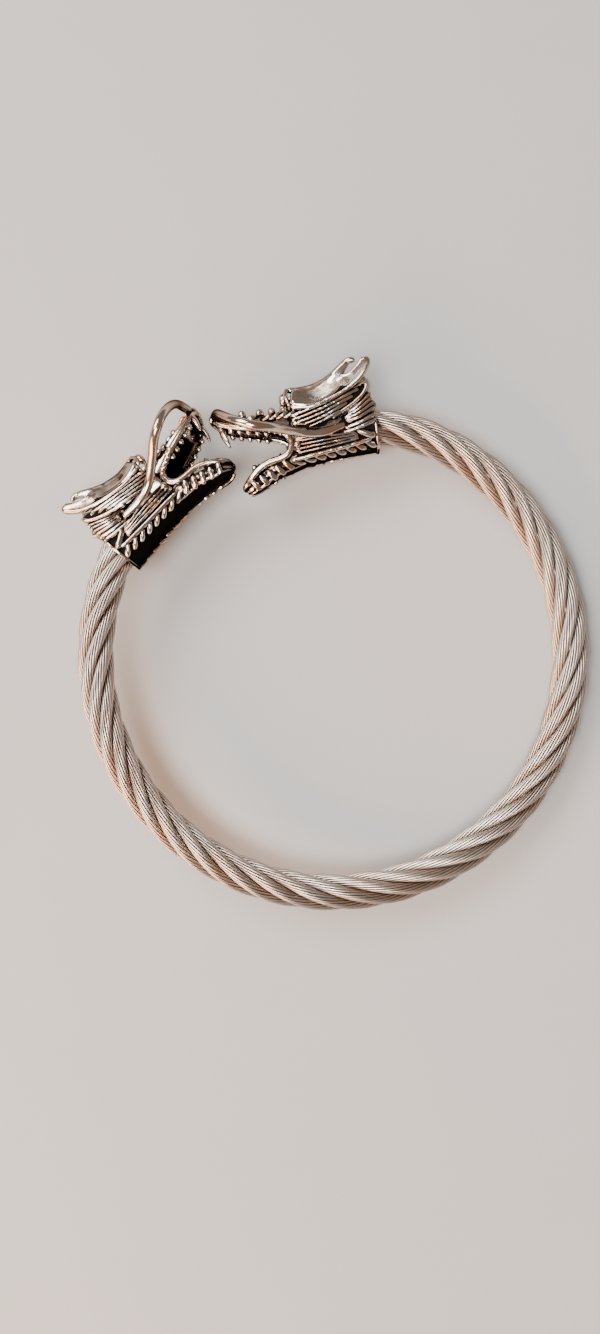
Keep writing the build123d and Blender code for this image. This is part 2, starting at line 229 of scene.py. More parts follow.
def limb(rows: list, shape: Section = Section.ROUND, side: Side = Side.ACROSS) -> Shell:
    """A bar with rounded ends through the rows.

    The profile is a superellipse carried along the spline of the rows. Its thickness points to the
    side, leant about the head's length and made square to the path. Near each end it shrinks as a
    circle does: the root of 1 less the square of the share of the end radius still to go.

    Args:
        rows: What a Spot holds, along the bar.
        shape: How square the section is.
        side: Which way the thickness points.

    Returns:
        A closed surface.
    """
    line = spline([Spot(*row) for row in rows], LIMB_STEPS * len(rows))
    path = line[:, :3]
    heading = unit(np.gradient(path, axis=0))
    lean = np.radians(line[:, 5])[:, None]
    level, rise = np.cos(lean), np.sin(lean)
    _, across, up = side.value
    leant = np.concatenate([0 * lean, across * level - up * rise, across * rise + up * level], axis=1)
    thick_way = unit(leant - heading * np.sum(leant * heading, axis=1, keepdims=True))
    tall_way = np.cross(heading, thick_way)
    gone = np.concatenate([[0], np.cumsum(np.linalg.norm(np.diff(path, axis=0), axis=1))])
    to_end = np.minimum(gone, gone[-1] - gone)
    half_tall, half_thick = np.maximum(line[:, 3:5], THINNEST).T / 2
    closing = np.sqrt(np.clip(1 - np.clip(1 - to_end / half_thick, 0, 1) ** 2, BLUNTNESS, 1))
    wide, tall = superellipse(LIMB_SIDES, shape.value)
    rings = (
        path[:, None]
        + thick_way[:, None] * (half_thick * closing)[:, None, None] * wide[None, :, None]
        + tall_way[:, None] * (half_tall * closing)[:, None, None] * tall[None, :, None]
    )
    return Shell.from_rings(rings)


def block(rows: list) -> Array:
    """Rings of a solid that stands square to the head.

    Each ring is a superellipse between the row's bottom and top and its two half widths, with the
    rows smoothed by a spline.

    Args:
        rows: How far forward each section is, its half width, bottom, top and power.

    Returns:
        Ring by ring, point by point, three coordinates.
    """
    forward, half_width, bottom, top, power = spline(rows, BLOCK_STEPS * len(rows)).T[:, :, None]
    wide, tall = superellipse(BLOCK_SIDES, power)
    height = tall * (top - bottom) / 2 + (top + bottom) / 2
    return np.stack([np.broadcast_to(forward, wide.shape), wide * half_width, height], axis=-1)


def knob(boss: Boss) -> Shell:
    """An ellipsoid: sine and cosine of the latitude times the three half widths.

    Args:
        boss: Its centre and half widths.

    Returns:
        A closed surface.
    """
    latitude = (np.pi * (np.arange(KNOB_RINGS) + 0.5) / KNOB_RINGS)[:, None]
    angle = tau * np.arange(KNOB_SIDES) / KNOB_SIDES
    across = boss.across + boss.half_width * np.sin(latitude) * np.cos(angle)
    up = boss.up + boss.half_height * np.sin(latitude) * np.sin(angle)
    forward = boss.forward - boss.half_length * np.broadcast_to(np.cos(latitude), up.shape)
    return Shell.from_rings(np.stack([forward, across, up], axis=-1))


def fan(group: Fan) -> list[Shell]:
    """The limbs of a group, each row the same share of the way from the first to the last."""
    first, last = np.array(group.first), np.array(group.last)
    return [limb(first + (last - first) * share) for share in np.linspace(0, 1, group.count)]


def round_bar(*rows: tuple) -> list[tuple]:
    """Rows of a round bar: each a place and how thick the bar is there."""
    return [(*row, row[-1]) for row in rows]


def turned(vector: Array, axis: Array, angle: float) -> Array:
    """The vector turned round an axis, by Rodrigues' formula."""
    turn, rise = radians(angle), np.dot(axis, vector)
    return vector * cos(turn) + np.cross(axis, vector) * sin(turn) + axis * rise * (1 - cos(turn))


def shown(thing: Object) -> Object:
    """Put an object in the scene."""
    bpy.context.scene.collection.objects.link(thing)
    return thing


def baked(thing: Object) -> Mesh:
    """The mesh of an object as its modifiers leave it."""
    return bpy.data.meshes.new_from_object(thing.evaluated_get(bpy.context.evaluated_depsgraph_get()))


def read(items: bpy.types.bpy_prop_collection, name: str, width: int, kind: type = float) -> Array:
    """Read the numbers of each of a mesh's items.

    Args:
        items: The items, such as its vertices.
        name: What the numbers are called.
        width: How many each item has.
        kind: Their type.

    Returns:
        One row an item.
    """
    values = np.empty(len(items) * width, kind)
    items.foreach_get(name, values)
    return values.reshape(-1, width)


def write_recess(mesh: Mesh, values: Array) -> None:
    """Keep how dark each vertex is with the mesh, where its material reads it."""
    mesh.attributes.new("recess", "FLOAT", "POINT").data.foreach_set("value", values)


@dataclass(frozen=True)
class Ring:
    """The ring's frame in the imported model: its centre, and its three axes as rows."""

    centre: Array
    axes: Array

    @staticmethod
    def from_record() -> "Ring":
        """Read the ring's centre and axis from the wrist's mount; the ring's X keeps no part of Y.

        Returns:
            The ring's frame.
        """
        mount = frame["record"]["mounts"][0]
        upward = unit(np.array(mount["axis"], float))
        right = unit(np.array([upward[2], 0, -upward[0]]))
        return Ring(np.array(mount["pos_m"], float), np.array([right, np.cross(upward, right), upward]))

    def place(self, points: Array) -> Array:
        """Points of the ring's own frame in millimetres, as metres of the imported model."""
        return self.centre + points @ self.axes * MM


@dataclass(frozen=True)
class RopeLine:
    """The rope's centre line: an arc, a tighter arc by the right head, and straight ends.

    Angles are degrees round the ring, and lengths are millimetres from the left neck.
    """

    ring_radius: float = 32.7
    left_neck_angle: float = 154.65
    bend_angle: float = 56.6
    bend_radius: float = 24.9
    bend_length: float = 13.0
    insert: float = 4.5

    @property
    def main_length(self) -> float:
        """Length of the wide arc."""
        return radians(360 + self.bend_angle - self.left_neck_angle) * self.ring_radius

    @property
    def length(self) -> float:
        """Length between the two neck rims."""
        return self.main_length + self.bend_length

    def frames(self, distance: Array) -> tuple[Array, Array, Array]:
        """Where the line is, which way is outwards and which way it runs.

        On an arc the outward way is (cos a, sin a, 0) with the angle a growing by distance over
        radius, and past either neck the line runs straight on.

        Args:
            distance: Lengths from the left neck.

        Returns:
            Places, outward ways and headings, one row each.
        """
        wide = np.clip(distance, 0, self.main_length)
        tight = np.clip(distance - self.main_length, 0, self.bend_length)
        spare = np.minimum(distance, 0) + np.maximum(distance - self.length, 0)
        angle = radians(self.left_neck_angle) + wide / self.ring_radius + tight / self.bend_radius
        outward = np.stack([np.cos(angle), np.sin(angle), 0 * angle], axis=1)
        heading = np.stack([-np.sin(angle), np.cos(angle), 0 * angle], axis=1)
        bend = radians(self.bend_angle)
        shift = (self.ring_radius - self.bend_radius) * np.array([cos(bend), sin(bend), 0])
        in_bend = (distance > self.main_length)[:, None]
        radius = np.where(in_bend, self.bend_radius, self.ring_radius)
        return in_bend * shift + outward * radius + heading * spare[:, None], outward, heading


@dataclass(frozen=True)
class CastSteel:
    """Polished cast steel with black oxide in its recesses, and painted shade where it turns away from the
    camera, inside the mouth, over the snout and eye socket, on the belly and on the horn plates.

    The mask holds MASK_SETTINGS, and a span the two values to carry from and the two to carry to.
    """

    name: str = "cast_steel"
    bright: tuple = (0.68, 0.615, 0.565, 1.0)
    warm: tuple = (0.70, 0.47, 0.34, 1.0)
    # edge is painted shade: the colour the metal is darkened towards, by edge_span, where it turns away
    # from the camera; it is also the specular tint
    edge: tuple = (0.16, 0.125, 0.105, 1.0)
    # dark: the black of oxide in the grooves and of the painted shade in the mouth, on the belly and in the
    # other shaded patches
    dark: tuple = (0.010, 0.009, 0.009, 1.0)
    mask: tuple = (0.28, 0.62, 2600.0, 0.25)
    warm_span: tuple = (0.42, 0.60, 0.0, 0.85)
    edge_span: tuple = (0.35, 0.92, 0.0, 0.85)
    rough_span: tuple = (0.35, 0.7, 0.11, 0.22)
    dulling: float = 0.39
    cloud_scale: float = 420.0
    grain_scale: float = 5200.0
    bump_strength: float = 0.12
    bump_depth: float = 0.00004


@dataclass(frozen=True)
class RopeSteel:
    """Drawn stainless wire with painted shade between the wires and strands, told as in CastSteel."""

    name: str = "rope_steel"
    bright: tuple = (0.74, 0.645, 0.585, 1.0)
    warm: tuple = (0.70, 0.53, 0.44, 1.0)
    # dark: the painted shade between the wires and strands
    dark: tuple = (0.060, 0.040, 0.030, 1.0)
    mask: tuple = (0.04, 0.66, 900.0, 0.12)
    warm_span: tuple = (0.4, 0.65, 0.1, 0.9)
    rough_span: tuple = (0.3, 0.7, 0.22, 0.32)
    dulling: float = 0.28
    cloud_scale: float = 160.0
    line_scale: tuple = (0.6, 40.0, 1.0)
    bump_strength: float = 0.2
    bump_depth: float = 0.00002


@dataclass
class NodeSheet:
    """A short way to lay out shader nodes in a tree."""

    tree: NodeTree

    def add(self, kind: str, feeds: dict | None = None, **settings: object) -> Node:
        """Make a node, set its options and feed its inputs.

        Args:
            kind: The node's type.
            feeds: A socket or a plain value for each input, by name or number.
            **settings: The node's options.

        Returns:
            The node.
        """
        node = self.tree.nodes.new(kind)
        for name, value in settings.items():
            setattr(node, name, value)
        self.feed(node, feeds or {})
        return node

    def feed(self, node: Node, feeds: dict) -> None:
        """Link a node's inputs to sockets, or set them to plain values.

        Args:
            node: The node.
            feeds: A socket or a plain value for each input, by name or number.
        """
        for name, value in feeds.items():
            if isinstance(value, NodeSocket):
                self.tree.links.new(value, node.inputs[name])
            else:
                node.inputs[name].default_value = value

    def noise(self, place: object, scale: object, detail: float = 2.0) -> NodeSocket:
        """Cloudy noise about a half, at a place."""
        feeds = {"Vector": place, "Scale": scale, "Detail": detail}
        return self.add("ShaderNodeTexNoise", feeds).outputs["Fac"]

    def carry(self, source: NodeSocket, span: tuple, **settings: object) -> NodeSocket:
        """Carry a value from the span's first two values to its last two, or to 0 and 1, clamped."""
        feeds = dict(enumerate((source, *span)))
        return self.add("ShaderNodeMapRange", feeds, clamp=True, **settings).outputs[0]

    def math(self, kind: str, first: NodeSocket, second: object) -> NodeSocket:
        """Work out one sum of a socket and of a socket or a number."""
        return self.add("ShaderNodeMath", {0: first, 1: second}, operation=kind).outputs[0]

    def mix(self, share: NodeSocket, first: object, second: object) -> NodeSocket:
        """Mix two colours, each a socket or a plain colour."""
        return self.add("ShaderNodeMix", {0: share, 6: first, 7: second}, data_type="RGBA").outputs[2]


def recess_group() -> NodeTree:
    """Make the shared mask of oxide and painted shade.

    The mask is the recess attribute plus fine noise about its middle, stretched to 0 to 1 between two
    edges, so the dark runs out unevenly as oxide does when a casting is rubbed bright. The attribute holds
    oxide and painted shade on the heads, and painted shade between the wires.

    Returns:
        A node group with Recess and the mask's settings in and Mask out.
    """
    tree = bpy.data.node_groups.new("recess_mask", "ShaderNodeTree")
    for name in ("Recess", *MASK_SETTINGS):
        tree.interface.new_socket(name=name, in_out="INPUT", socket_type="NodeSocketFloat")
    tree.interface.new_socket(name="Mask", in_out="OUTPUT", socket_type="NodeSocketFloat")
    sheet = NodeSheet(tree)
    given = sheet.add("NodeGroupInput").outputs
    noise = sheet.noise(sheet.add("ShaderNodeTexCoord").outputs["Object"], given["Grain Size"], 3.0)
    uneven = sheet.math("MULTIPLY", sheet.math("SUBTRACT", noise, 0.5), given["Unevenness"])
    total = sheet.math("ADD", given["Recess"], uneven)
    stretched = sheet.carry(total, (given["Start"], given["End"]), interpolation_type="SMOOTHSTEP")
    sheet.add("NodeGroupOutput", {"Mask": stretched})
    return tree


def new_material(name: str) -> tuple[Material, NodeSheet, Node]:
    """Start a node material.

    Args:
        name: Its name.

    Returns:
        The material, its sheet and its shader.
    """
    material = bpy.data.materials.new(name)
    material.use_nodes = True
    return material, NodeSheet(material.node_tree), material.node_tree.nodes["Principled BSDF"]


class MetalPaint:
    """A metal material under way, with what the castings and the wires share."""

    def __init__(self, finish: CastSteel | RopeSteel, group: NodeTree) -> None:
        """Lay out the mask, fed by the piece's recess attribute, and the metal's two tones.

        Args:
            finish: The metal's colours and roughness.
            group: The shared mask.
        """
        self.finish = finish
        self.material, self.sheet, self.shader = new_material(finish.name)
        attribute = self.sheet.add("ShaderNodeAttribute", attribute_name="recess")
        feeds = {"Recess": attribute.outputs["Fac"], **dict(zip(MASK_SETTINGS, finish.mask))}
        self.mask = self.sheet.add("ShaderNodeGroup", feeds, node_tree=group).outputs["Mask"]
        self.place = self.sheet.add("ShaderNodeTexCoord").outputs
        self.cloud = self.sheet.noise(self.place["Object"], finish.cloud_scale, 4.0)
        warmth = self.sheet.carry(self.cloud, finish.warm_span)
        self.metal = self.sheet.mix(warmth, finish.bright, finish.warm)

    def finished(self, tone: NodeSocket, scuffs: NodeSocket, height: NodeSocket) -> Material:
        """Darken and dull where the mask is high, for oxide and painted shade, and roughen and bump the
        metal.

        Args:
            tone: The metal's colour outside the recesses.
            scuffs: Noise that roughens it.
            height: Noise that raises it.

        Returns:
            The material.
        """
        sheet, finish = self.sheet, self.finish
        rough = sheet.carry(scuffs, finish.rough_span)
        duller = sheet.carry(self.mask, (0.0, 1.0, 0.0, finish.dulling))
        feeds = {"Strength": finish.bump_strength, "Distance": finish.bump_depth, "Height": height}
        feeds = {
            "Base Color": sheet.mix(self.mask, tone, finish.dark),
            "Roughness": sheet.math("ADD", rough, duller),
            "Normal": sheet.add("ShaderNodeBump", feeds).outputs["Normal"],
            "Metallic": 1.0,
        }
        sheet.feed(self.shader, feeds)
        return self.material


def cast_material(finish: CastSteel, group: NodeTree) -> Material:
    """Dress a casting: bright where it was rubbed, black oxide where the rubbing didn't reach, and painted
    shade inside the mouth, over the snout, the eye's socket and the belly, on the horn plates and where it
    turns away.

    Args:
        finish: Its colours and roughness.
        group: The shared mask.

    Returns:
        The material.
    """
    paint = MetalPaint(finish, group)
    # Painted shade: darken the metal towards edge where its surface turns away from the camera
    facing = paint.sheet.add("ShaderNodeLayerWeight", {"Blend": 0.5}).outputs["Facing"]
    painted_edge_shade = paint.sheet.carry(facing, finish.edge_span)
    paint.shader.inputs["Specular Tint"].default_value = finish.edge
    grain = paint.sheet.noise(paint.place["Object"], finish.grain_scale)
    return paint.finished(paint.sheet.mix(painted_edge_shade, paint.metal, finish.edge), paint.cloud, grain)


def rope_material(finish: RopeSteel, group: NodeTree) -> Material:
    """Dress the wires: drawn lines along each wire, and painted shade where wires and strands meet.

    Args:
        finish: Their colours and roughness.
        group: The shared mask.

    Returns:
        The material.
    """
    paint = MetalPaint(finish, group)
    feeds = {"Scale": finish.line_scale, "Vector": paint.place["UV"]}
    stretch = paint.sheet.add("ShaderNodeMapping", feeds)
    lines = paint.sheet.noise(stretch.outputs["Vector"], 1.0, 3.0)
    return paint.finished(paint.metal, lines, lines)


def new_piece(name: str, mesh: Mesh, material: Material, node: str) -> None:
    """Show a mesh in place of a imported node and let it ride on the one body.

    Args:
        name: The piece's name.
        mesh: Its surface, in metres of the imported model.
        material: Its look.
        node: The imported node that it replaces.
    """
    mesh.materials.append(material)
    piece = shown(bpy.data.objects.new(name, mesh))
    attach(piece, "root")
    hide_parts(node)
    LOG.info("%s: %d vertices, %d faces", name, len(mesh.vertices), len(mesh.polygons))


@dataclass(frozen=True)
class WireRope:
    """Six strands laid right-handed, each with twelve outer wires laid the other way.

    A valley between strands and a seam between wires hold how deep their painted shade starts and is full.
    """

    line: RopeLine
    ring: Ring
    rope_radius: float = 2.5
    strand_radius: float = 0.79
    wire_radius: float = 0.166
    strand_count: int = 6
    wire_count: int = 12
    lay_length: float = 32.4
    lay_phase: float = 83.0
    wire_lay: float = 12.5
    steps: int = 420
    wire_sides: int = 8
    valley: tuple = (0.12, 0.75)
    seam: tuple = (0.015, 0.09)
    valley_share: float = 0.1
    seam_share: float = 0.9

    def strand(self, number: int) -> tuple[Shell, Array, Array]:
        """Lay one strand's wires.

        The strand's centre turns round the rope's centre line once in a lay length. Each wire's
        centre turns round the strand's the other way, at the strand's radius less the wire's, and
        a circle is carried along it. The recess is how far a point lies below the rope's outside,
        and below its own strand's.

        Args:
            number: Which strand, from 0.

        Returns:
            The wires in the ring's frame, the recess of each vertex from 0 to 1, and where each
            vertex lies along and round its wire, in millimetres.
        """
        distance = np.linspace(-self.line.insert, self.line.length + self.line.insert, self.steps)
        place, outward, heading = self.line.frames(distance)
        turns = number / self.strand_count + distance / self.lay_length
        turn = (radians(self.lay_phase) + tau * turns)[:, None]
        away = RING_AXIS * np.cos(turn) + outward * np.sin(turn)
        onward = outward * np.cos(turn) - RING_AXIS * np.sin(turn)
        strand_ring = self.rope_radius - self.strand_radius
        centre = place + away * strand_ring
        strand_heading = unit(heading + onward * tau * strand_ring / self.lay_length)
        beside = np.cross(strand_heading, away)
        start = tau * np.arange(self.wire_count) / self.wire_count
        spin = start[:, None] - tau * distance[None, :] / self.wire_lay
        spoke = away * np.cos(spin)[..., None] + beside * np.sin(spin)[..., None]
        path = centre + spoke * (self.strand_radius - self.wire_radius)
        wire_heading = unit(np.gradient(path, axis=1))
        normal = unit(spoke - wire_heading * np.sum(spoke * wire_heading, axis=-1, keepdims=True))
        binormal = np.cross(wire_heading, normal)
        angle = (tau * np.arange(self.wire_sides) / self.wire_sides)[:, None]
        around = normal[:, :, None] * np.cos(angle) + binormal[:, :, None] * np.sin(angle)
        rings = path[:, :, None] + around * self.wire_radius
        below_rope = self.rope_radius - np.linalg.norm(rings - place[None, :, None], axis=-1)
        below_strand = self.strand_radius - np.linalg.norm(rings - centre[None, :, None], axis=-1)
        # Painted shade: the valleys between strands and the seams between wires are darkened by how deep
        # they lie
        valley = ramp(below_rope, *self.valley) * self.valley_share
        recess = np.clip(valley + ramp(below_strand, *self.seam) * self.seam_share, 0, 1)
        along = np.broadcast_to(distance[None, :, None], recess.shape)
        round_wire = np.broadcast_to(angle.ravel() * self.wire_radius, recess.shape) + start[:, None, None]
        shell = Shell.joined([Shell.from_rings(wire) for wire in rings])
        return shell, recess.ravel(), np.stack([along.ravel(), round_wire.ravel()], axis=1)

    def build(self, material: Material) -> None:
        """Make a piece of each strand.

        Args:
            material: The wires' look.
        """
        for number in range(self.strand_count):
            shell, recess, spread = self.strand(number)
            shell.points = self.ring.place(shell.points)
            name = f"strand_wires_{number + 1}"
            mesh = shell.to_mesh(name)
            write_recess(mesh, recess)
            corners = read(mesh.loops, "vertex_index", 1, np.int32)
            mesh.uv_layers.new(name="along_wire").data.foreach_set("uv", spread[corners].ravel())
            new_piece(name, mesh, material, f"rope_strand_{number + 1}")


@dataclass(frozen=True)
class HeadSeat:
    """Where a head starts and how it is turned, in the ring's frame, and 1 or -1 if it is mirrored."""

    origin: Array
    forward: Array
    upward: Array
    flank: int = 1

    def place(self, points: Array) -> Array:
        """Points of the head's own frame, in the ring's."""
        leftward = np.cross(self.upward, self.forward) * self.flank
        return self.origin + points @ np.array([self.forward, leftward, self.upward])


# Rows for block: the skull from the front back to the neck rim, and the jaws
SKULL = [
    (11.6, 2.25, -3.3, 4.6, 2.4), (11.2, 2.65, -3.6, 5.1, 2.5), (9.8, 2.85, -3.58, 4.95, 2.2),
    (7.5, 3.02, -3.46, 4.6, 2.2), (4.8, 3.18, -3.42, 4.45, 2.2), (2.2, 3.36, -3.43, 4.05, 2.1),
    (0.9, 3.44, -3.44, 3.62, 2), (0.42, 3.46, -3.46, 3.5, 2), (0.32, 3.66, -3.66, 3.66, 2),
    (0, 3.66, -3.66, 3.66, 2),
]
UPPER_JAW = [
    (9.4, 2.3, 0.1, 4.6, 2.6), (11.5, 2.4, 0.6, 4.4, 2.6), (13.2, 2.55, 1.25, 4, 3),
    (16, 2.6, 2.25, 4.1, 2.8), (18.8, 2.35, 2.95, 4.35, 2.6), (20.8, 1.8, 3.75, 4.75, 2.4),
    (21.8, 1.1, 4.25, 4.95, 2.2), (22.1, 0.5, 4.45, 4.85, 2),
]
LOWER_JAW = [
    (5, 1.6, -3.34, -1.1, 2.2), (7.5, 2.15, -3.46, -1.15, 2.3), (9.6, 2.45, -3.62, -1.3, 2.5),
    (11, 2.58, -3.78, -1.5, 2.6), (12.4, 2.62, -3.98, -1.85, 2.7), (14.5, 2.42, -4.45, -2.5, 2.7),
    (16.5, 2.02, -5.55, -3.25, 2.6), (18, 1.5, -6.12, -4.35, 2.4), (18.8, 0.8, -6.08, -4.95, 2),
]
# Rows of what a Spot holds: the left flank's flat pieces, round ones and groups of like ones
PLATES = {
    "horn": [
        (11, 3.1, 5.25, 2.7, 1.4, 27), (9.6, 3.2, 4.95, 2.9, 1.15, 27), (8, 3.35, 4.85, 2.9, 1.05, 25),
        (5.6, 3.65, 5.45, 2.85, 1, 18), (4.2, 3.92, 6.1, 2.6, 0.8, 8), (3, 4.12, 6.5, 1.4, 0.5, 3),
    ],
    "front_prong": [
        (5.2, 3.45, 6.4, 1.2, 0.6, 12), (4.2, 3.8, 7.05, 1.5, 0.85, 6), (3.3, 3.98, 7.9, 1, 0.85),
        (2.5, 4.1, 8.45, 0.65, 0.8),
    ],
    "rear_prong": [
        (5, 3.76, 5.5, 1.5, 0.6), (3.6, 4.14, 5.75, 2, 0.78), (2.3, 4.36, 6.18, 1.75, 0.8),
        (1.2, 4.55, 7, 1.5, 0.85), (0.3, 4.72, 7.9, 1.25, 0.9), (-0.12, 4.82, 8.55, 0.8, 0.75),
    ],
    "mane_lobe": [
        (11.3, 2.95, 2.05, 1, 0.7), (8.4, 3.28, 2.35, 2.1, 0.85), (5.4, 3.52, 3.15, 2.6, 0.9),
        (3, 3.62, 3.95, 2.6, 0.9), (1.4, 3.66, 4.6, 2.1, 0.75), (0.55, 3.68, 4.95, 1.3, 0.5),
    ],
    "neck_lobe": [
        (4.2, 3.5, 0.85, 0.9, 0.7), (2.2, 3.6, 1.6, 1.8, 0.8), (0.8, 3.68, 2.4, 2.2, 0.75),
        (0.1, 3.72, 3.05, 1.5, 0.5),
    ],
    "temple": [
        (11.1, 2.3, 4.4, 2.6, 2.6, 10), (8.3, 2.6, 4.2, 2.6, 2.5, 10), (5.6, 2.9, 4.5, 2.2, 2.1, 10),
        (3.9, 3.35, 5.2, 1.4, 1.4, 8), (2.6, 3.8, 5.8, 0.8, 0.9, 5),
    ],
}
ROLLS = {
    "horn_crest": [
        (11.2, 2.42, 6.55, 0.8, 0.85), (9.7, 2.45, 6.22, 1, 1.02), (8.2, 2.65, 6.18, 1.02, 1.05),
        (6.8, 2.9, 6.43, 1.02, 1.05), (5.4, 3.2, 6.92, 1.02, 1.05), (4, 3.65, 7.72, 1, 1.02),
        (3, 3.9, 8.38, 0.95, 0.98), (2.2, 4.1, 8.68, 0.85, 0.9), (1.5, 4.28, 8.42, 0.6, 0.7),
    ],
    "slit_rim": [
        (4.05, 4, 6.95, 0.42, 0.65), (3.4, 4.2, 6.7, 0.46, 0.88), (2.38, 4.38, 6.9, 0.5, 0.9),
        (1.3, 4.56, 7.7, 0.5, 0.9), (0.5, 4.74, 8.6, 0.52, 0.85),
    ],
    "horn_sill": [
        (11.1, 3.55, 3.95, 0.6, 0.7), (9.8, 3.72, 3.65, 0.6, 0.75), (7.9, 3.92, 3.52, 0.6, 0.75),
        (5.6, 4.1, 4.08, 0.6, 0.75), (3.4, 4.28, 4.85, 0.6, 0.8), (1.6, 4.5, 5.8, 0.6, 0.85),
        (0.45, 4.68, 6.95, 0.6, 0.9), (-0.3, 4.82, 8.1, 0.6, 0.85),
    ],
    "brow": [
        (11.15, 2.45, 6.7, 0.65, 0.7), (11.5, 2.9, 5.9, 0.6, 0.75), (11.45, 3.3, 4.95, 0.55, 0.75),
        (11.2, 3.5, 4.05, 0.55, 0.65),
    ],
    "brow_fold": [
        (10.35, 3.05, 5.75, 0.3, 0.5), (10.3, 3.55, 4.75, 0.45, 0.6), (10.2, 3.75, 3.85, 0.35, 0.5),
    ],
    "upper_lip": [
        (11.7, 3.05, -0.25, 0.7, 0.6), (12.3, 3.02, 0.55, 0.75, 0.7), (13.5, 2.98, 1.25, 0.8, 0.75),
        (15.99, 2.86, 2.05, 0.8, 0.75), (18.59, 2.58, 2.72, 0.8, 0.75), (20.4, 2.02, 3.4, 0.8, 0.75),
        (21.5, 1.2, 4.05, 0.8, 0.75), (21.95, 0, 4.4, 0.8, 0.75),
    ],
    "lower_lip": [
        (12.3, 3, 0.35, 0.8, 0.7), (11.9, 3.04, -0.45, 0.85, 0.8), (12, 2.98, -1.35, 0.9, 0.85),
        (12.6, 2.88, -2.1, 0.9, 0.85), (13.7, 2.7, -2.45, 0.9, 0.85), (15.3, 2.5, -2.66, 0.9, 0.85),
        (16.8, 2.2, -3.33, 0.9, 0.85), (18.1, 1.76, -4.38, 0.9, 0.85), (18.85, 1.15, -5.1, 0.85, 0.8),
        (19.1, 0, -5.4, 0.85, 0.8),
    ],
    "jaw_rim": [
        (10.6, 1.55, -3.5, 0.3, 0.4), (12.4, 1.7, -3.92, 0.42, 0.5), (14.5, 1.78, -4.42, 0.42, 0.5),
        (16.5, 1.6, -5.55, 0.42, 0.5), (17.7, 1.2, -6.05, 0.42, 0.5), (18.45, 0.5, -6.26, 0.4, 0.45),
    ],
    "jaw_ridge": [
        (12, 2.45, -2.9, 0.3, 0.4), (10.9, 2.52, -2.88, 0.52, 0.7), (9.4, 2.58, -2.76, 0.6, 0.85),
        (7.2, 2.7, -2.6, 0.62, 0.85), (4.8, 2.84, -2.42, 0.62, 0.85), (2.6, 3, -2.22, 0.56, 0.75),
        (1, 3.14, -2.02, 0.45, 0.55),
    ],
    "spike": [
        (0.45, 3.25, -1.75, 0.9, 0.9), (1.6, 3.42, -1.25, 0.9, 0.9), (3, 3.56, -0.58, 0.65, 0.7),
        (4.6, 3.55, 0.12, 0.2, 0.3),
    ],
    "fang": [
        (20.95, 1.5, 3.9, 1.05, 0.95), (20.75, 1.62, 2.7, 0.95, 0.9), (20.45, 1.66, 1.75, 0.65, 0.65),
        (20.15, 1.62, 0.95, 0.25, 0.25),
    ],
    "lower_fang": [
        (16.8, 1.9, -3.95, 1.2, 0.7), (17.2, 1.86, -3.1, 1.05, 0.62), (17.45, 1.78, -2.5, 0.35, 0.35),
    ],
    "beak": [
        (20.6, 0.9, 5, 0.8, 1.2), (21.6, 0.65, 5.2, 0.8, 1.2), (22.05, 0.55, 4.75, 0.7, 1.1),
        (21.95, 0.5, 4.1, 0.45, 0.8),
    ],
    "lobe_edge": [
        (0.6, 3.92, 5.55, 0.45, 0.7), (0.72, 4, 4.7, 0.55, 0.85), (1.5, 4.02, 3.75, 0.55, 0.85),
        (2.8, 3.98, 2.9, 0.55, 0.8), (4.3, 3.9, 2.2, 0.5, 0.75), (5.8, 3.8, 1.45, 0.4, 0.6),
    ],
}
